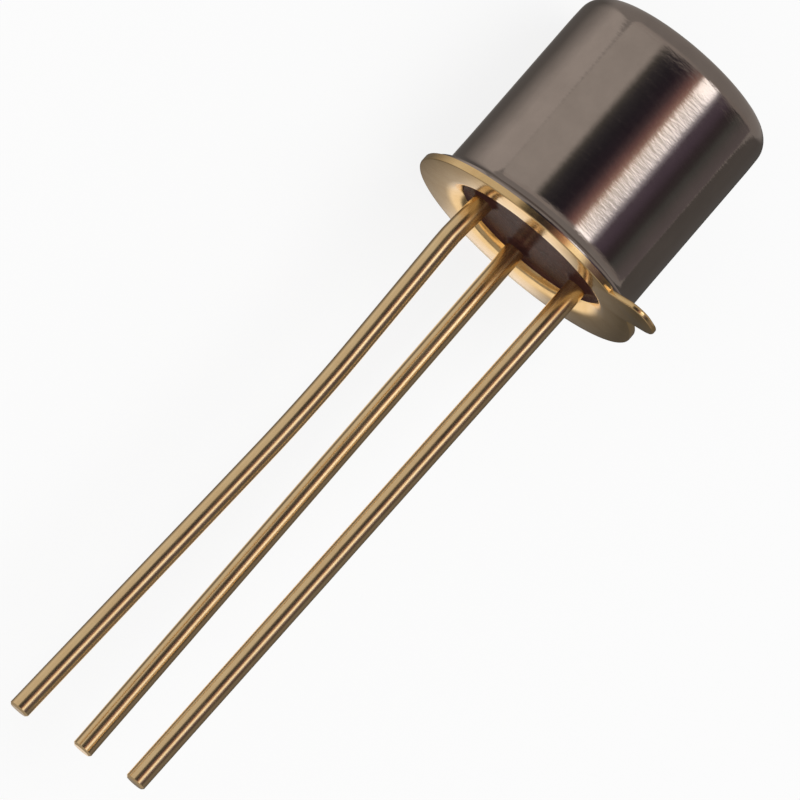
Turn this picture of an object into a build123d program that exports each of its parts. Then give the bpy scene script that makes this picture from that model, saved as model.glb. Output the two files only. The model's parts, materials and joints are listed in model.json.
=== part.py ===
from build123d import *
from math import acos, atan2, cos, degrees, hypot, sin
import os

# Three-lead metal-can transistor, lying on its side. Millimetres.
# It is built upright: z runs along the can's axis from the seating plane to the closed top,
# the emitter lead is at +x, the base lead at +y and the collector lead at -x.

# Cap
can_diameter = 4.70
can_height = 5.00  # seating plane to closed top
can_wall = 0.25
can_top_radius = 0.45
can_flange_width = 0.27  # beyond the can's wall
can_flange_thickness = 0.15
can_foot_radius = 0.20  # outside corner from flange to wall
can_flange_edge = 0.06

# Header eyelet
header_step = 0.127  # flange beyond the cap's flange
header_flange_thickness = 0.12
header_edge = 0.03
header_sheet = 0.22
header_height = 0.95  # seating plane to the platform's top
header_shoulder = 0.25  # outside corner of the platform
skirt_clearance = 0.13  # eyelet's skirt to the cap's wall, all round
tab_width = 1.04
tab_reach = 0.86  # beyond the header's flange
tab_corner = 0.42
tab_angle = -45.0  # from the emitter lead, about the axis

# Glass
glass_depth = 0.26  # seating plane to the glass
glass_margin = 0.255  # glass between a lead and the eyelet's wall
glass_sleeve = 0.20  # glass round a post where it passes the platform
meniscus_reach = 0.14
meniscus_height = 0.09
meniscus_lip = 0.022  # beyond the lead at its thin end

# Leads
lead_diameter = 0.45
lead_tip_chamfer = 0.04
post_height = 0.40  # above the platform
emitter_length = 13.23  # below the seating plane
base_length = 13.31
collector_length = 13.68
lean_start = 0.30  # below the seating plane, where the straight leads start to lean
lean_radius = 12.0
emitter_lean = (-0.227, 0.0)  # the tip's offset in x and y
base_lean = (-0.05, -0.22)
collector_set = (-0.075, 0.0)  # just under the header
collector_set_start = 0.15  # above the seating plane
collector_set_end = 0.75  # below it
collector_set_radius = 5.0
collector_bow_depth = 5.20  # below the seating plane
collector_bow = (0.017, 0.0)
collector_bow_radius = 45.0
collector_lean = (-0.37, 0.0)

# Chip and wires
die_side = 0.46
die_thickness = 0.15
preform_margin = 0.05
preform_thickness = 0.025
pad_offset = 0.12  # from the chip's middle to a wire's foot
wire_diameter = 0.04
wire_rise = 0.32  # above the post's top
wire_bend = 0.12

# At rest
rest_roll = -10.0  # about the axis, to where the weight of the splayed leads hangs lowest

# Worked out from the sizes above
can_radius = can_diameter / 2
can_inside = can_radius - can_wall
can_flange_radius = can_radius + can_flange_width
header_radius = can_flange_radius + header_step
skirt_radius = can_inside - skirt_clearance
recess_radius = skirt_radius - header_sheet
lead_radius = lead_diameter / 2
lead_circle_radius = recess_radius - glass_margin - lead_radius
platform_under = header_height - header_sheet
post_top = header_height + post_height
sleeve_radius = lead_radius + glass_sleeve
die_top = header_height + preform_thickness + die_thickness


def turned(points, corners):
    # A solid of revolution from an outline of (radius, z) points, with some corners rounded.
    outline = make_face(Polyline(*points, close=True))
    for point, radius in corners:
        outline = fillet(outline.vertices().sort_by_distance(point)[0], radius)
    return revolve(Plane.XZ * outline, Axis.Z)


def can():
    bottom = header_flange_thickness
    flange_top = bottom + can_flange_thickness
    inside_top = can_height - can_wall
    outline = [
        (can_inside, bottom),
        (can_flange_radius, bottom),
        (can_flange_radius, flange_top),
        (can_radius, flange_top),
        (can_radius, can_height),
        (0, can_height),
        (0, inside_top),
        (can_inside, inside_top),
    ]
    corners = [
        (outline[0], can_flange_thickness / 2),
        (outline[1], can_flange_edge),
        (outline[2], can_flange_edge),
        (outline[3], can_foot_radius),
        (outline[4], can_top_radius),
        (outline[7], can_top_radius - can_wall / 2),
    ]
    return turned(outline, corners)


def cylinder_between(radius, low, high):
    return Pos(0, 0, (low + high) / 2) * Cylinder(radius, high - low)


def header_eyelet():
    outline = [
        (0, platform_under),
        (recess_radius, platform_under),
        (recess_radius, 0),
        (header_radius, 0),
        (header_radius, header_flange_thickness),
        (skirt_radius, header_flange_thickness),
        (skirt_radius, header_height),
        (0, header_height),
    ]
    corners = [
        (outline[2], skirt_clearance + header_sheet),
        (outline[3], header_edge),
        (outline[4], header_edge),
        (outline[5], skirt_clearance),
        (outline[6], header_shoulder),
    ]
    hole = cylinder_between(sleeve_radius, platform_under - header_sheet, header_height + header_sheet)
    holes = [Pos(lead_circle_radius, 0, 0) * hole, Pos(0, lead_circle_radius, 0) * hole]
    return turned(outline, corners) + index_tab() - holes


def index_tab():
    root = header_radius - header_edge - header_step
    end = header_radius + tab_reach
    flat = Pos((root + end) / 2, 0) * Rectangle(end - root, tab_width)
    flat = fillet(flat.vertices().group_by(Axis.X)[-1], tab_corner)
    return Rot(0, 0, tab_angle) * extrude(flat, header_flange_thickness)


def glass_seal(eyelet, leads):
    # The fill and its two sleeves take the shape of the eyelet and the leads they are melted to.
    fill_radius = recess_radius + header_sheet / 2
    fill = cylinder_between(fill_radius, glass_depth, platform_under)
    sleeve = cylinder_between(sleeve_radius, platform_under, header_height)
    meniscus = Pos(0, 0, glass_depth - meniscus_height / 2) * Cone(
        lead_radius + meniscus_lip, lead_radius + meniscus_reach, meniscus_height
    )
    fill += [Pos(lead_circle_radius, 0, 0) * (sleeve + meniscus)]
    fill += [Pos(0, lead_circle_radius, 0) * (sleeve + meniscus)]
    fill += [Pos(-lead_circle_radius, 0, 0) * meniscus]
    return fill - eyelet - leads


def wire_along(points, radii, diameter):
    # A round wire along straight runs joined by arcs, starting along z.
    path = FilletPolyline(*points, radius=radii)
    start = Plane(path @ 0, z_dir=path % 0)
    return sweep(start * Circle(diameter / 2), path)


def lead(root_x, root_y, top, points, radii):
    # Each point of the wire is an offset in x and y, and a depth below the seating plane.
    route = [(root_x, root_y, top)]
    route += [(root_x + offset[0], root_y + offset[1], -depth) for offset, depth in points]
    wire = wire_along(route, radii, lead_diameter)
    tip = wire.edges().group_by(Axis.Z)[0]
    return chamfer(tip, lead_tip_chamfer)


def emitter_lead():
    points = [((0, 0), lean_start), (emitter_lean, emitter_length)]
    return lead(lead_circle_radius, 0, post_top, points, lean_radius)


def base_lead():
    points = [((0, 0), lean_start), (base_lean, base_length)]
    return lead(0, lead_circle_radius, post_top, points, lean_radius)


def collector_lead():
    points = [
        ((0, 0), -collector_set_start),
        (collector_set, collector_set_end),
        (collector_bow, collector_bow_depth),
        (collector_lean, collector_length),
    ]
    radii = [collector_set_radius, collector_set_radius, collector_bow_radius]
    return lead(-lead_circle_radius, 0, platform_under, points, radii)


def die_preform():
    side = die_side + 2 * preform_margin
    place = Pos(0, 0, header_height + preform_thickness / 2)
    return place * Box(side, side, preform_thickness)


def silicon_die():
    place = Pos(0, 0, die_top - die_thickness / 2)
    return place * Box(die_side, die_side, die_thickness)


def bond_wire(turn):
    # From a pad on the chip, up and over to the middle of a post's end.
    crest = post_top + wire_rise
    points = [
        (pad_offset, 0, die_top),
        (pad_offset, 0, crest),
        (lead_circle_radius, 0, crest),
        (lead_circle_radius, 0, post_top),
    ]
    return Rot(0, 0, turn) * wire_along(points, wire_bend, wire_diameter)


def resting_place():
    # The part lies on the header's rim and the can's top corner, with the base lead lowest.
    # Both rims are round, so the tilt is where their lowest points are level.
    out = (header_radius - header_edge) - (can_radius - can_top_radius)
    along = (can_height - can_top_radius) - (header_flange_thickness - header_edge)
    rounding = can_top_radius - header_edge
    tilt = acos(rounding / hypot(out, along)) - atan2(along, out)
    height = (
        (header_radius - header_edge) * cos(tilt)
        + (header_flange_thickness - header_edge) * sin(tilt)
        + header_edge
    )
    return Pos(0, 0, height) * Rot(-90 - degrees(tilt), 0, 0) * Rot(0, 0, rest_roll)


eyelet = header_eyelet()
leads = {
    "emitter_lead": emitter_lead(),
    "base_lead": base_lead(),
    "collector_lead": collector_lead(),
}
upright = {
    "can": can(),
    "header_eyelet": eyelet,
    "glass_seal": glass_seal(eyelet, list(leads.values())),
    **leads,
    "die_preform": die_preform(),
    "silicon_die": silicon_die(),
    "emitter_bond_wire": bond_wire(0),
    "base_bond_wire": bond_wire(90),
}
lying = {name: resting_place() * piece for name, piece in upright.items()}

# The origin is the middle of the box's underside, on the surface that the part lies on.
box = Compound(list(lying.values())).bounding_box()
to_origin = Pos(-(box.min.X + box.max.X) / 2, -(box.min.Y + box.max.Y) / 2, 0)

os.makedirs("parts", exist_ok=True)
for name, piece in lying.items():
    export_step(to_origin * piece, f"parts/{name}.step")
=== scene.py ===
import bpy
import bmesh
import json
import math
from mathutils import Matrix, Vector


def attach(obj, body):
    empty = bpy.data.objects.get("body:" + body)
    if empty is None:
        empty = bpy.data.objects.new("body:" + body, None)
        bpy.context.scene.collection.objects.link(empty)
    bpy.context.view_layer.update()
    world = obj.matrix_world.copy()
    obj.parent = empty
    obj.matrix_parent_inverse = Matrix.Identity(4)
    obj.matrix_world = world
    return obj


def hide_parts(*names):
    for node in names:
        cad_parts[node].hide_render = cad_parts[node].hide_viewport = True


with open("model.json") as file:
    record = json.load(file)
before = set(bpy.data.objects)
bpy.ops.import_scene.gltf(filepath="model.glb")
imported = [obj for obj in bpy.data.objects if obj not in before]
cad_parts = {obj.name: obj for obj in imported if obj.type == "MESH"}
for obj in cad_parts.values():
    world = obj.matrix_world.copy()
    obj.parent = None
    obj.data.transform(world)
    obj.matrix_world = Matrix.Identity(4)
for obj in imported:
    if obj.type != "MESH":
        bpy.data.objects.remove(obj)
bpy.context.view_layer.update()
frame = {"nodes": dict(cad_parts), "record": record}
print("frame loaded")

# The can stands upright while it is modelled, in millimetres, z along its axis
# from the seating plane. placeUpright then lays each piece where the frame has it.
mounts = {mount["name"]: mount for mount in frame["record"]["mounts"]}
alongCan = Vector(mounts["can_wall"]["axis"]).normalized()
onAxis = Vector(mounts["can_wall"]["pos_m"])
onSeat = Vector(mounts["seating_face"]["pos_m"])
seatMiddle = onAxis + alongCan * (onSeat - onAxis).dot(alongCan)
toEmitter = (seatMiddle - onSeat).normalized()
toBase = alongCan.cross(toEmitter)
turnUpright = Matrix((toEmitter, toBase, alongCan)).transposed()
placeUpright = Matrix.Translation(seatMiddle) @ turnUpright.to_4x4() @ Matrix.Scale(0.001, 4)
mergeWithin = 0.0005  # millimetres


def addLink(tree, source, target):
    tree.links.new(source, target)


def newMaterial(name):
    material = bpy.data.materials.new(name)
    material.use_nodes = True
    tree = material.node_tree
    return material, tree, tree.nodes["Principled BSDF"]


def uprightCoordinates(tree, stretch=(1, 1, 1)):
    # Object coordinates turned back to the upright millimetres, then stretched for a pattern.
    where = tree.nodes.new("ShaderNodeTexCoord")
    centred = tree.nodes.new("ShaderNodeMapping")
    centred.vector_type = "TEXTURE"
    centred.inputs["Location"].default_value = seatMiddle
    centred.inputs["Rotation"].default_value = turnUpright.to_euler()
    centred.inputs["Scale"].default_value = (0.001, 0.001, 0.001)
    stretched = tree.nodes.new("ShaderNodeMapping")
    stretched.inputs["Scale"].default_value = stretch
    addLink(tree, where.outputs["Object"], centred.inputs["Vector"])
    addLink(tree, centred.outputs["Vector"], stretched.inputs["Vector"])
    return stretched.outputs["Vector"]


def addNoise(tree, coordinates, scale, detail=3.0, roughness=0.5, distortion=0.0):
    noise = tree.nodes.new("ShaderNodeTexNoise")
    noise.inputs["Scale"].default_value = scale
    noise.inputs["Detail"].default_value = detail
    noise.inputs["Roughness"].default_value = roughness
    noise.inputs["Distortion"].default_value = distortion
    addLink(tree, coordinates, noise.inputs["Vector"])
    return noise.outputs["Fac"]


def addRamp(tree, factor, stops):
    ramp = tree.nodes.new("ShaderNodeValToRGB")
    elements = ramp.color_ramp.elements
    while len(elements) > 1:
        elements.remove(elements[-1])
    elements[0].position = stops[0][0]
    elements[0].color = (*stops[0][1], 1)
    for position, colour in stops[1:]:
        elements.new(position).color = (*colour, 1)
    addLink(tree, factor, ramp.inputs["Fac"])
    return ramp.outputs["Color"]


def addRange(tree, value, low, high, newLow, newHigh, smooth=False):
    spread = tree.nodes.new("ShaderNodeMapRange")
    if smooth:
        spread.interpolation_type = "SMOOTHSTEP"
    spread.inputs["From Min"].default_value = low
    spread.inputs["From Max"].default_value = high
    spread.inputs["To Min"].default_value = newLow
    spread.inputs["To Max"].default_value = newHigh
    addLink(tree, value, spread.inputs["Value"])
    return spread.outputs["Result"]


def addMath(tree, operation, first, second=None):
    node = tree.nodes.new("ShaderNodeMath")
    node.operation = operation
    for socket, value in zip(node.inputs, (first, second)):
        if value is None:
            continue
        if isinstance(value, (int, float)):
            socket.default_value = value
        else:
            addLink(tree, value, socket)
    return node.outputs["Value"]


def addBump(tree, shader, height, strength, distance):
    bump = tree.nodes.new("ShaderNodeBump")
    bump.inputs["Strength"].default_value = strength
    bump.inputs["Distance"].default_value = distance
    addLink(tree, height, bump.inputs["Height"])
    addLink(tree, bump.outputs["Normal"], shader.inputs["Normal"])


def makeNickel():
    material, tree, shader = newMaterial("nickel plate")
    shader.inputs["Metallic"].default_value = 1.0
    clouds = addNoise(tree, uprightCoordinates(tree), 1.6, 4.0, 0.55)
    tint = addRamp(tree, clouds, [(0.35, (0.415, 0.363, 0.333)), (0.65, (0.45, 0.394, 0.362))])
    addLink(tree, tint, shader.inputs["Base Color"])
    rubbed = addNoise(tree, uprightCoordinates(tree, (1.0, 1.0, 7.0)), 2.4, 6.0, 0.65)
    addLink(tree, addRange(tree, rubbed, 0.3, 0.7, 0.05, 0.11), shader.inputs["Roughness"])
    drawn = addNoise(tree, uprightCoordinates(tree, (1.0, 1.0, 4.0)), 3.0, 5.0, 0.6)
    addBump(tree, shader, drawn, 0.22, 0.00001)
    return material


def makeGold(name, colours, stretch, roughLow, roughHigh):
    material, tree, shader = newMaterial(name)
    shader.inputs["Metallic"].default_value = 1.0
    clouds = addNoise(tree, uprightCoordinates(tree), 2.2, 4.0, 0.6)
    tint = addRamp(tree, clouds, [(0.3, colours[0]), (0.7, colours[1])])
    addLink(tree, tint, shader.inputs["Base Color"])
    streaks = addNoise(tree, uprightCoordinates(tree, stretch), 6.0, 5.0, 0.6)
    rough = addRange(tree, streaks, 0.3, 0.7, roughLow, roughHigh)
    addLink(tree, rough, shader.inputs["Roughness"])
    addBump(tree, shader, streaks, 0.2, 0.000004)
    return material


def makeGlass():
    material, tree, shader = newMaterial("sealing glass")
    clouds = addNoise(tree, uprightCoordinates(tree), 2.0, 4.0, 0.6)
    tint = addRamp(tree, clouds, [(0.35, (0.040, 0.015, 0.013)), (0.7, (0.080, 0.030, 0.022))])
    addLink(tree, tint, shader.inputs["Base Color"])
    shader.inputs["IOR"].default_value = 1.06
    pits = addNoise(tree, uprightCoordinates(tree), 14.0, 4.0, 0.6)
    addLink(tree, addRange(tree, pits, 0.3, 0.7, 0.2, 0.35), shader.inputs["Roughness"])
    addBump(tree, shader, pits, 0.25, 0.00001)
    return material


def makeSilicon():
    material, tree, shader = newMaterial("silicon")
    shader.inputs["Metallic"].default_value = 0.6
    etched = addNoise(tree, uprightCoordinates(tree), 9.0, 3.0, 0.5)
    tint = addRamp(tree, etched, [(0.4, (0.10, 0.11, 0.15)), (0.6, (0.17, 0.18, 0.23))])
    addLink(tree, tint, shader.inputs["Base Color"])
    addLink(tree, addRange(tree, etched, 0.3, 0.7, 0.12, 0.25), shader.inputs["Roughness"])
    return material


brightGold = ((0.88, 0.62, 0.30), (0.97, 0.72, 0.38))
paleGold = ((0.95, 0.70, 0.39), (1.0, 0.78, 0.46))
finish = {
    "nickel": makeNickel(),
    "headerGold": makeGold("gold plated header", brightGold, (1, 1, 1), 0.10, 0.22),
    "leadGold": makeGold("gold plated leads", paleGold, (3, 3, 0.2), 0.15, 0.26),
    "wireGold": makeGold("gold wire", brightGold, (4, 4, 4), 0.2, 0.35),
    "glass": makeGlass(),
    "silicon": makeSilicon(),
}
print("materials made")


def addPiece(bm, name, material, node, sharpAngle=35):
    bmesh.ops.remove_doubles(bm, verts=bm.verts, dist=mergeWithin)
    bmesh.ops.recalc_face_normals(bm, faces=bm.faces)
    bm.transform(placeUpright)
    mesh = bpy.data.meshes.new(name)
    bm.to_mesh(mesh)
    bm.free()
    mesh.shade_smooth()
    mesh.set_sharp_from_angle(angle=math.radians(sharpAngle))
    piece = bpy.data.objects.new(name, mesh)
    bpy.context.scene.collection.objects.link(piece)
    mesh.materials.append(material)
    evened = piece.modifiers.new("even shading", "WEIGHTED_NORMAL")
    evened.keep_sharp = True
    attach(piece, "root")
    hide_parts(node)


def spinOutline(outline, steps):
    # outline is (radius, height, corner radius) from the axis round to the axis again
    bm = bmesh.new()
    corners = [bm.verts.new((radius, 0, height)) for radius, height, rounding in outline]
    for first, second in zip(corners, corners[1:]):
        bm.edges.new((first, second))
    for corner, (radius, height, rounding) in zip(corners, outline):
        if rounding:
            bmesh.ops.bevel(
                bm,
                geom=[corner],
                offset=rounding,
                offset_type="OFFSET",
                affect="VERTICES",
                segments=max(3, round(rounding * 26)),
                profile=0.5,
                material=-1,
            )
    bmesh.ops.spin(
        bm,
        geom=bm.verts[:] + bm.edges[:],
        cent=(0, 0, 0),
        axis=(0, 0, 1),
        angle=math.tau,
        steps=steps,
        use_merge=True,
    )
    bmesh.ops.remove_doubles(bm, verts=bm.verts, dist=mergeWithin)
    return bm


cap = {
    "radius": 2.35,
    "inside": 2.10,
    "height": 5.00,
    "wall": 0.25,
    "topCorner": 0.42,
    "crown": 1.82,  # ring that keeps the end flat up to its corner
    "draft": 0.03,  # the wall leans in a little towards the top corner
    "draftFrom": 4.35,
    "flangeRadius": 2.62,
    "flangeLow": 0.12,
    "flangeHigh": 0.27,
    "flangeEdge": 0.045,
    "footCorner": 0.20,
    "flare": 0.012,
    "flareTop": 0.85,
    "steps": 192,
}


def buildCap():
    outline = [
        (0, cap["height"] - cap["wall"], 0),
        (cap["inside"], cap["height"] - cap["wall"], 0.325),
        (cap["inside"], cap["flangeLow"], 0.07),
        (cap["flangeRadius"], cap["flangeLow"], cap["flangeEdge"]),
        (cap["flangeRadius"], cap["flangeHigh"], cap["flangeEdge"]),
        (cap["radius"] + cap["flare"], cap["flangeHigh"], cap["footCorner"]),
        (cap["radius"], cap["flareTop"], 0.25),
        (cap["radius"], cap["draftFrom"], 0.2),
        (cap["radius"] - cap["draft"], cap["height"], cap["topCorner"]),
        (cap["crown"], cap["height"], 0),
        (0, cap["height"], 0),
    ]
    bm = spinOutline(outline, cap["steps"])
    addPiece(bm, "can_shell", finish["nickel"], "can")


buildCap()

header = {
    "radius": 2.747,
    "flange": 0.12,
    "edge": 0.03,
    "skirt": 1.97,
    "top": 0.95,
    "under": 0.73,
    "recess": 1.75,
    "lipCorner": 0.35,
    "innerCorner": 0.13,
    "shoulder": 0.25,
    "steps": 192,
    "tabSteps": 6,  # to each side of the tab's middle
    "tabAngle": -45.0,
    "tabEnd": 3.607,
    "tabHalfWidth": 0.52,
    "tabCorner": 0.42,
}


def buildHeader():
    outline = [
        (0, header["under"], 0),
        (header["recess"], header["under"], 0),
        (header["recess"], 0, header["lipCorner"]),
        (header["radius"], 0, 0),
        (header["radius"], header["flange"], 0),
        (header["skirt"], header["flange"], header["innerCorner"]),
        (header["skirt"], header["top"], header["shoulder"]),
        (0, header["top"], 0),
    ]
    bm = spinOutline(outline, header["steps"])
    # The tab grows out of the flange's rim.
    halfTurn = math.radians(360 / header["steps"] * header["tabSteps"])
    turn = Matrix.Rotation(math.radians(-header["tabAngle"]), 3, "Z")
    bmesh.ops.rotate(bm, verts=bm.verts, cent=(0, 0, 0), matrix=turn)
    rim = [
        face
        for face in bm.faces
        if face.calc_center_median().xy.length > header["radius"] - 0.01
        and abs(face.normal.z) < 0.5
        and face.calc_center_median().x > 0
        and abs(math.atan2(face.calc_center_median().y, face.calc_center_median().x)) < halfTurn
    ]
    grown = bmesh.ops.extrude_face_region(bm, geom=rim)
    bmesh.ops.delete(bm, geom=rim, context="FACES")
    endVerts = [item for item in grown["geom"] if isinstance(item, bmesh.types.BMVert)]
    for vert in endVerts:
        vert.co.x = header["tabEnd"]
        vert.co.y = math.copysign(min(abs(vert.co.y), header["tabHalfWidth"]), vert.co.y)
    inner = [
        edge
        for edge in bm.edges
        if all(vert.co.x > header["tabEnd"] - 0.001 for vert in edge.verts)
        and abs(edge.verts[0].co.z - edge.verts[1].co.z) > 0.01
        and abs(edge.verts[0].co.y) < max(vert.co.y for vert in endVerts) - 0.001
    ]
    bmesh.ops.dissolve_edges(bm, edges=inner, use_verts=False)
    across = [
        edge
        for edge in bm.edges
        if max(vert.co.x for vert in edge.verts) > header["tabEnd"] - 0.001
        and min(vert.co.x for vert in edge.verts) < header["tabEnd"] - 0.1
        and abs(edge.verts[0].co.y) < max(vert.co.y for vert in endVerts) - 0.001
    ]
    bmesh.ops.dissolve_edges(bm, edges=across, use_verts=False)
    loose = [vert for vert in endVerts if vert.is_valid and len(vert.link_edges) == 2]
    bmesh.ops.dissolve_verts(bm, verts=loose)
    corners = [
        edge
        for edge in bm.edges
        if all(vert.co.x > header["tabEnd"] - 0.001 for vert in edge.verts)
        and abs(edge.verts[0].co.z - edge.verts[1].co.z) > 0.01
    ]
    bmesh.ops.bevel(
        bm,
        geom=corners,
        offset=header["tabCorner"],
        offset_type="OFFSET",
        affect="EDGES",
        segments=10,
        profile=0.5,
        material=-1,
    )
    bm.normal_update()
    rimEdges = [
        edge
        for edge in bm.edges
        if len(edge.link_faces) == 2
        and min(vert.co.xy.length for vert in edge.verts) > header["radius"] - 0.005
        and abs(edge.verts[0].co.z - edge.verts[1].co.z) < 0.001
        and abs(edge.link_faces[0].normal.z - edge.link_faces[1].normal.z) > 0.9
    ]
    bmesh.ops.bevel(
        bm,
        geom=rimEdges,
        offset=header["edge"],
        offset_type="OFFSET",
        affect="EDGES",
        segments=3,
        profile=0.5,
        material=-1,
    )
    bmesh.ops.rotate(bm, verts=bm.verts, cent=(0, 0, 0), matrix=turn.inverted())
    addPiece(bm, "header_plate", finish["headerGold"], "header_eyelet")


buildHeader()

leadCircle = 1.27
wire = {"radius": 0.225, "chamfer": 0.04, "sides": 40, "step": 0.3}
glass = {
    "face": 0.26,
    "back": 0.73,
    "radius": 1.765,
    "rings": 60,
    "steps": 256,
    "meniscusReach": 0.14,
    "meniscusHeight": 0.09,
    "sleeveRadius": 0.425,
    "sleeveTop": 0.95,
}
leadPlaces = {"emitter": (leadCircle, 0), "base": (0, leadCircle), "collector": (-leadCircle, 0)}


def buildGlass():
    bm = bmesh.new()
    middle = bm.verts.new((0, 0, glass["face"]))
    edgeVert = bm.verts.new((glass["radius"], 0, glass["face"]))
    radial = bm.edges.new((middle, edgeVert))
    backEdge = bm.verts.new((glass["radius"], 0, glass["back"]))
    backMiddle = bm.verts.new((0, 0, glass["back"]))
    bm.edges.new((edgeVert, backEdge))
    bm.edges.new((backEdge, backMiddle))
    bmesh.ops.subdivide_edges(bm, edges=[radial], cuts=glass["rings"] - 1)
    bmesh.ops.spin(
        bm,
        geom=bm.verts[:] + bm.edges[:],
        cent=(0, 0, 0),
        axis=(0, 0, 1),
        angle=math.tau,
        steps=glass["steps"],
        use_merge=True,
    )
    bmesh.ops.remove_doubles(bm, verts=bm.verts, dist=mergeWithin)
    reach = glass["meniscusReach"]
    for vert in bm.verts:
        if vert.co.z > glass["face"] + 0.01:
            continue
        lift = max(0, 1 - (glass["radius"] - vert.co.xy.length) / reach) ** 2 * 0.5
        for place in leadPlaces.values():
            gap = (vert.co.xy - Vector(place)).length - wire["radius"]
            lift = max(lift, (1 - min(1, max(0, gap / reach))) ** 2)
        vert.co.z -= glass["meniscusHeight"] * lift
    for place in (leadPlaces["emitter"], leadPlaces["base"]):
        made = bmesh.ops.create_cone(
            bm,
            cap_ends=True,
            segments=48,
            radius1=glass["sleeveRadius"],
            radius2=glass["sleeveRadius"],
            depth=glass["sleeveTop"] - glass["back"],
        )
        middleHeight = (glass["sleeveTop"] + glass["back"]) / 2
        bmesh.ops.translate(bm, verts=made["verts"], vec=(*place, middleHeight))
    addPiece(bm, "glass_fill", finish["glass"], "glass_seal")


buildGlass()

# Each bend is (depth below the seating plane, change of slope, length of the bend).
# A slope is a shift sideways over the length that it takes.
leads = {
    "emitter": {
        "node": "emitter_lead",
        "top": -1.35,
        "tip": 13.23,
        "bends": [(0.30, (-0.227 / 12.93, 0.0), 0.2)],
    },
    "base": {
        "node": "base_lead",
        "top": -1.35,
        "tip": 13.31,
        "bends": [(0.30, (-0.05 / 13.01, -0.22 / 13.01), 0.2)],
    },
    "collector": {
        "node": "collector_lead",
        "top": -0.73,
        "tip": 13.68,
        "bends": [
            (-0.15, (-0.075 / 0.90, 0.0), 0.4),
            (0.75, (0.075 / 0.90 + 0.092 / 4.45, 0.0), 0.5),
            (5.20, (-0.092 / 4.45 - 0.387 / 8.48, 0.0), 3.0),
        ],
    },
}


def leadOffset(lead, depth):
    offset = Vector((0, 0))
    for start, slope, length in lead["bends"]:
        past = depth - start
        if past > length / 2:
            run = past
        elif past > -length / 2:
            run = (past + length / 2) ** 2 / (2 * length)
        else:
            run = 0
        offset += Vector(slope) * run
    return offset


def buildLead(name, lead):
    bm = bmesh.new()
    place = Vector(leadPlaces[name])
    ring = bmesh.ops.create_circle(
        bm, cap_ends=True, segments=wire["sides"], radius=wire["radius"]
    )["verts"]
    start = place + leadOffset(lead, lead["top"])
    bmesh.ops.translate(bm, verts=ring, vec=(*start, -lead["top"]))
    edges = [edge for edge in bm.edges if edge.is_boundary]
    depth = lead["top"]
    bodyEnd = lead["tip"] - wire["chamfer"]
    count = math.ceil((bodyEnd - depth) / wire["step"])
    stops = [depth + (bodyEnd - depth) * turn / count for turn in range(1, count + 1)]
    for stop in stops + [lead["tip"]]:
        grown = bmesh.ops.extrude_edge_only(bm, edges=edges)["geom"]
        verts = [item for item in grown if isinstance(item, bmesh.types.BMVert)]
        edges = [item for item in grown if isinstance(item, bmesh.types.BMEdge)]
        shift = leadOffset(lead, stop) - leadOffset(lead, depth)
        bmesh.ops.translate(bm, verts=verts, vec=(*shift, depth - stop))
        depth = stop
    tipMiddle = place + leadOffset(lead, depth)
    narrow = 1 - wire["chamfer"] / wire["radius"]
    bmesh.ops.scale(
        bm,
        verts=verts,
        vec=(narrow, narrow, 1),
        space=Matrix.Translation((-tipMiddle.x, -tipMiddle.y, 0)),
    )
    bmesh.ops.contextual_create(bm, geom=edges)
    addPiece(bm, name + "_wire", finish["leadGold"], lead["node"])


for leadName, leadSizes in leads.items():
    buildLead(leadName, leadSizes)
print("pieces built")

# The chip and its wires keep their frame shapes and take a finish.
for nodeName, finishName in (
    ("die_preform", "wireGold"),
    ("silicon_die", "silicon"),
    ("emitter_bond_wire", "wireGold"),
    ("base_bond_wire", "wireGold"),
):
    for place in frame["nodes"][nodeName].material_slots:
        place.material = finish[finishName]

# Camera
shot = {
    "turn": 7.0,  # of the header from the camera's own sideways direction
    "fromBelow": 10.97,  # the camera looks a little at the header's underside
    "roll": 40.834,
    "lens": 300.0,
    "distance": 0.13364,
    "aside": -2.4921,
    "lift": -2.9789,
}
turnCamera = turnUpright @ Matrix.Rotation(math.radians(-shot["turn"]), 3, "Z")
below, roll = math.radians(shot["fromBelow"]), math.radians(shot["roll"])
forward = turnCamera @ Vector((0, math.cos(below), math.sin(below)))
levelUp = turnCamera @ Vector((0, -math.sin(below), math.cos(below)))
sideways = turnCamera @ Vector((1, 0, 0))
imageRight = sideways * math.cos(roll) + levelUp * math.sin(roll)
imageUp = levelUp * math.cos(roll) - sideways * math.sin(roll)
aim = seatMiddle + (imageRight * shot["aside"] + imageUp * shot["lift"]) * 0.001
cameraData = bpy.data.cameras.new("camera")
cameraData.lens = shot["lens"]
cameraData.sensor_width = 36.0
cameraData.clip_start = 0.01
camera = bpy.data.objects.new("camera", cameraData)
bpy.context.scene.collection.objects.link(camera)
cameraTurn = Matrix((imageRight, imageUp, -forward)).transposed()
camera.matrix_world = Matrix.Translation(aim - forward * shot["distance"]) @ cameraTurn.to_4x4()
bpy.context.scene.camera = camera

# Floor
floorBm = bmesh.new()
bmesh.ops.create_grid(floorBm, x_segments=1, y_segments=1, size=1.5)
floorMesh = bpy.data.meshes.new("floor")
floorBm.to_mesh(floorMesh)
floorBm.free()
floor = bpy.data.objects.new("floor", floorMesh)
bpy.context.scene.collection.objects.link(floor)

floorLook = {
    "colour": (0.9, 0.9, 0.9, 1),
    "shaded": 0.16,  # the share that takes light, so that the part's shadow stays soft
    "paintedTint": (1, 0.92, 0.85),
    "paintedSpan": 30,  # millimetres to each side
    "endGrey": (0.32, 0.295, 0.275, 1),
    "endFrom": 0.0092,  # metres along the part
    "endTo": 0.0106,
    "endWiden": 0.25,
}
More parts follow.
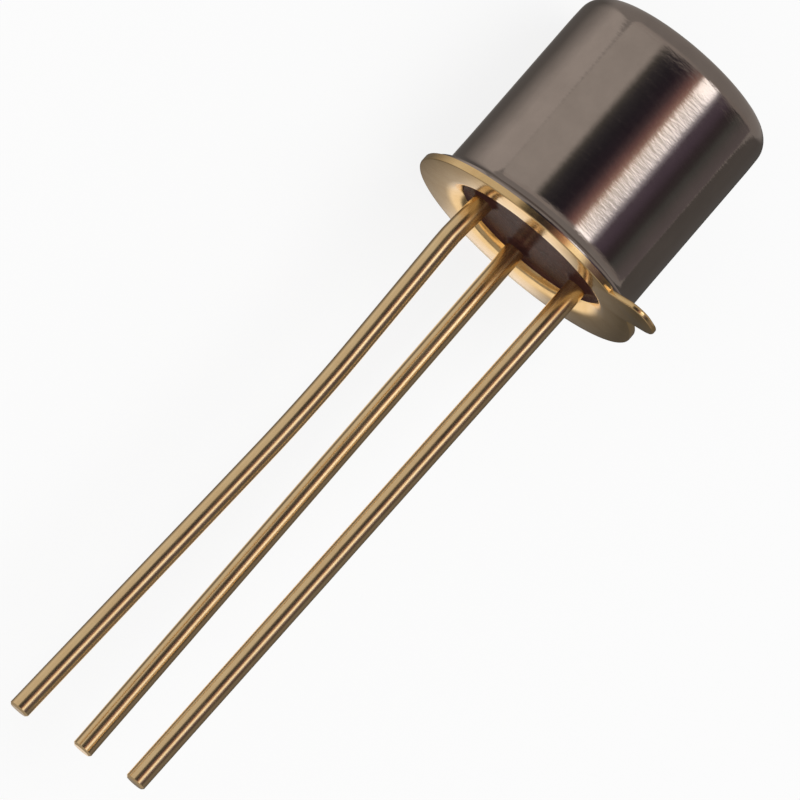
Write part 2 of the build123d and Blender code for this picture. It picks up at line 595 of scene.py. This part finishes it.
# What the metal mirrors: a painted reflection glowing on the floor for mirror rays only, by
# millimetres across it, with painted shade in the dark bands beside the part and on its right
# and painted light in the bright strip right under it
paintedFloorReflection = [
    (-30, 0.57),
    (-9.6, 0.57),
    (-7, 0.47),
    (-5.2, 0.32),
    (-3.7, 0.15),
    (-2.4, 0.13),
    (-1.2, 0.40),
    (-0.4, 0.95),
    (1.3, 0.95),
    (2.2, 0.22),
    (3.7, 0.08),
    (5.2, 0.11),
    (7, 0.12),
    (14, 0.13),
    (30, 0.13),
]


def makeFloor():
    material = bpy.data.materials.new("pale floor with painted reflection")
    material.use_nodes = True
    tree = material.node_tree
    tree.nodes.clear()
    output = tree.nodes.new("ShaderNodeOutputMaterial")
    paths = tree.nodes.new("ShaderNodeLightPath")
    matt = tree.nodes.new("ShaderNodeBsdfDiffuse")
    matt.inputs["Color"].default_value = floorLook["colour"]
    white = tree.nodes.new("ShaderNodeEmission")
    white.inputs["Strength"].default_value = 1.0
    seen = tree.nodes.new("ShaderNodeMixShader")
    seen.inputs["Fac"].default_value = floorLook["shaded"]
    addLink(tree, white.outputs["Emission"], seen.inputs[1])
    addLink(tree, matt.outputs["BSDF"], seen.inputs[2])
    where = tree.nodes.new("ShaderNodeTexCoord")
    split = tree.nodes.new("ShaderNodeSeparateXYZ")
    addLink(tree, where.outputs["Object"], split.inputs["Vector"])
    span = floorLook["paintedSpan"]
    across = addRange(tree, split.outputs["X"], -span * 0.001, span * 0.001, 0, 1)
    stops = [
        ((place + span) / (2 * span), tuple(level * part for part in floorLook["paintedTint"]))
        for place, level in paintedFloorReflection
    ]
    # past the part's two ends the painted reflection on the floor is one grey
    alongPart = addMath(tree, "ABSOLUTE", split.outputs["Y"])
    acrossPart = addMath(tree, "ABSOLUTE", split.outputs["X"])
    widened = addMath(tree, "MULTIPLY", acrossPart, floorLook["endWiden"])
    past = addMath(tree, "SUBTRACT", alongPart, widened)
    plainEnds = tree.nodes.new("ShaderNodeMix")
    plainEnds.data_type = "RGBA"
    plainEnds.inputs["B"].default_value = floorLook["endGrey"]
    ending = addRange(tree, past, floorLook["endFrom"], floorLook["endTo"], 0, 1, smooth=True)
    addLink(tree, ending, plainEnds.inputs["Factor"])
    addLink(tree, addRamp(tree, across, stops), plainEnds.inputs["A"])
    # painted reflection: the floor's glow that only mirror and transmission rays see, painted
    # shade near the part and painted light under it
    cards = tree.nodes.new("ShaderNodeEmission")
    addLink(tree, plainEnds.outputs["Result"], cards.inputs["Color"])
    mirrored = addMath(
        tree, "MAXIMUM", paths.outputs["Is Glossy Ray"], paths.outputs["Is Transmission Ray"]
    )
    toMetal = tree.nodes.new("ShaderNodeMixShader")
    addLink(tree, mirrored, toMetal.inputs["Fac"])
    addLink(tree, matt.outputs["BSDF"], toMetal.inputs[1])
    addLink(tree, cards.outputs["Emission"], toMetal.inputs[2])
    both = tree.nodes.new("ShaderNodeMixShader")
    addLink(tree, paths.outputs["Is Camera Ray"], both.inputs["Fac"])
    addLink(tree, toMetal.outputs["Shader"], both.inputs[1])
    addLink(tree, seen.outputs["Shader"], both.inputs[2])
    addLink(tree, both.outputs["Shader"], output.inputs["Surface"])
    floor.data.materials.append(material)


makeFloor()

studioLook = {
    "brightness": 1.13,  # of all the cards together
    "strength": 1.2,
    "ceilingEdge": (0.30, 0.37),  # heights here run from 0, level, to 1, straight along the can
    "endEdge": (0.42, 0.6),
    "endGrey": (0.26, 0.24, 0.225, 1),
    "softboxLow": (0.24, 0.28),
    "softboxHigh": (0.34, 0.38),
    "softboxStart": (20, 26),  # degrees about the can
    "softboxEnd": (40, 46),
    "softbox": 2.0,
    "background": 0.95,
    "fill": 0.6,
}
# The studio round the part, by degrees about the can's axis from the camera's side
studioCards = [
    (-180, (0.17, 0.155, 0.15)),
    (-128, (0.25, 0.23, 0.22)),
    (-108, (0.46, 0.425, 0.39)),
    (-32, (0.46, 0.425, 0.39)),
    (-25, (0.09, 0.085, 0.075)),
    (-19, (0.045, 0.042, 0.045)),
    (-9, (0.025, 0.022, 0.028)),
    (1, (0.03, 0.022, 0.03)),
    (8, (0.085, 0.055, 0.06)),
    (15, (0.24, 0.13, 0.12)),
    (20, (0.45, 0.28, 0.23)),
    (24, (0.72, 0.57, 0.46)),
    (28, (0.86, 0.8, 0.72)),
    (39, (0.84, 0.82, 0.82)),
    (44, (0.45, 0.43, 0.47)),
    (49, (0.12, 0.095, 0.12)),
    (57, (0.1, 0.075, 0.1)),
    (67, (0.055, 0.042, 0.048)),
    (74, (0.055, 0.048, 0.048)),
    (80, (0.085, 0.086, 0.081)),
    (92, (0.13, 0.116, 0.114)),
    (108, (0.17, 0.145, 0.15)),
    (180, (0.16, 0.145, 0.14)),
]
ceilingCards = [
    (-180, (0.3, 0.28, 0.26)),
    (-90, (0.42, 0.38, 0.35)),
    (-30, (0.4, 0.36, 0.33)),
    (20, (0.3, 0.27, 0.25)),
    (90, (0.27, 0.24, 0.22)),
    (180, (0.3, 0.28, 0.26)),
]


def makeStudio():
    world = bpy.data.worlds.new("studio")
    bpy.context.scene.world = world
    world.use_nodes = True
    tree = world.node_tree
    tree.nodes.clear()
    output = tree.nodes.new("ShaderNodeOutputWorld")
    paths = tree.nodes.new("ShaderNodeLightPath")
    where = tree.nodes.new("ShaderNodeTexCoord")
    turned = tree.nodes.new("ShaderNodeMapping")
    turned.vector_type = "TEXTURE"
    turned.inputs["Rotation"].default_value = turnCamera.to_euler()
    addLink(tree, where.outputs["Generated"], turned.inputs["Vector"])
    split = tree.nodes.new("ShaderNodeSeparateXYZ")
    addLink(tree, turned.outputs["Vector"], split.inputs["Vector"])
    towardCamera = addMath(tree, "MULTIPLY", split.outputs["Y"], -1.0)
    angle = addMath(tree, "ARCTAN2", split.outputs["X"], towardCamera)
    roundCan = addRange(tree, angle, -math.pi, math.pi, 0, 1)

    def ring(cards, scale):
        stops = [
            ((degree + 180) / 360, tuple(part * scale for part in colour))
            for degree, colour in cards
        ]
        return addRamp(tree, roundCan, stops)

    cardScale = studioLook["brightness"] / studioLook["strength"]
    sides = ring(studioCards, cardScale)
    ceiling = ring(ceilingCards, cardScale)
    height = split.outputs["Z"]
    high = addRange(tree, height, *studioLook["ceilingEdge"], 0, 1, smooth=True)
    mix = tree.nodes.new("ShaderNodeMix")
    mix.data_type = "RGBA"
    addLink(tree, high, mix.inputs["Factor"])
    addLink(tree, sides, mix.inputs["A"])
    addLink(tree, ceiling, mix.inputs["B"])
    # past the can's two ends, where the cards would meet in a point, the studio is one grey
    endOn = addMath(tree, "ABSOLUTE", height)
    ending = addRange(tree, endOn, *studioLook["endEdge"], 0, 1, smooth=True)
    ends = tree.nodes.new("ShaderNodeMix")
    ends.data_type = "RGBA"
    ends.inputs["B"].default_value = studioLook["endGrey"]
    addLink(tree, ending, ends.inputs["Factor"])
    addLink(tree, mix.outputs["Result"], ends.inputs["A"])
    mirrored = tree.nodes.new("ShaderNodeBackground")
    mirrored.inputs["Strength"].default_value = studioLook["strength"]
    addLink(tree, ends.outputs["Result"], mirrored.inputs["Color"])
    # the lamp's softbox, as the metal mirrors it
    def edge(value, stretch, start, finish):
        return addRange(tree, value, *stretch, start, finish, smooth=True)

    def edgeAround(degrees, start, finish):
        return edge(angle, [math.radians(degree) for degree in degrees], start, finish)

    low = edge(height, studioLook["softboxLow"], 0, 1)
    top = edge(height, studioLook["softboxHigh"], 1, 0)
    left = edgeAround(studioLook["softboxStart"], 0, 1)
    right = edgeAround(studioLook["softboxEnd"], 1, 0)
    inBand = addMath(tree, "MULTIPLY", low, top)
    inWidth = addMath(tree, "MULTIPLY", left, right)
    inSoftbox = addMath(tree, "MULTIPLY", inBand, inWidth)
    softbox = tree.nodes.new("ShaderNodeBackground")
    softboxLevel = addMath(tree, "MULTIPLY", inSoftbox, studioLook["softbox"])
    addLink(tree, softboxLevel, softbox.inputs["Strength"])
    studio = tree.nodes.new("ShaderNodeAddShader")
    addLink(tree, mirrored.outputs["Background"], studio.inputs[0])
    addLink(tree, softbox.outputs["Background"], studio.inputs[1])
    plain = tree.nodes.new("ShaderNodeBackground")
    plain.inputs["Color"].default_value = (1, 1, 1, 1)
    plain.inputs["Strength"].default_value = studioLook["background"]
    fill = tree.nodes.new("ShaderNodeBackground")
    fill.inputs["Color"].default_value = (1, 1, 1, 1)
    fill.inputs["Strength"].default_value = studioLook["fill"]
    lightOrSeen = tree.nodes.new("ShaderNodeMixShader")
    addLink(tree, paths.outputs["Is Camera Ray"], lightOrSeen.inputs["Fac"])
    addLink(tree, fill.outputs["Background"], lightOrSeen.inputs[1])
    addLink(tree, plain.outputs["Background"], lightOrSeen.inputs[2])
    wholeStudio = tree.nodes.new("ShaderNodeMixShader")
    isMirrored = addMath(
        tree, "MAXIMUM", paths.outputs["Is Glossy Ray"], paths.outputs["Is Transmission Ray"]
    )
    addLink(tree, isMirrored, wholeStudio.inputs["Fac"])
    addLink(tree, lightOrSeen.outputs["Shader"], wholeStudio.inputs[1])
    addLink(tree, studio.outputs["Shader"], wholeStudio.inputs[2])
    addLink(tree, wholeStudio.outputs["Shader"], output.inputs["Surface"])


makeStudio()

# Lamp, to the right of the camera
keyLamp = {"size": 0.15, "energy": 0.25, "turn": 0.52, "rise": 0.25, "distance": 0.25}
lampData = bpy.data.lights.new("key", "AREA")
lampData.size = keyLamp["size"]
lampData.energy = keyLamp["energy"]
lamp = bpy.data.objects.new("key", lampData)
bpy.context.scene.collection.objects.link(lamp)
lampLevel = Vector((math.sin(keyLamp["turn"]), -math.cos(keyLamp["turn"]), keyLamp["rise"]))
lampFrom = turnCamera @ lampLevel.normalized()
lampTurn = lampFrom.to_track_quat("Z", "Y").to_matrix()
lampPlace = seatMiddle + lampFrom * keyLamp["distance"]
lamp.matrix_world = Matrix.Translation(lampPlace) @ lampTurn.to_4x4()
lamp.visible_glossy = False
bpy.context.scene.view_settings.view_transform = "Standard"

print("camera, floor and light set")
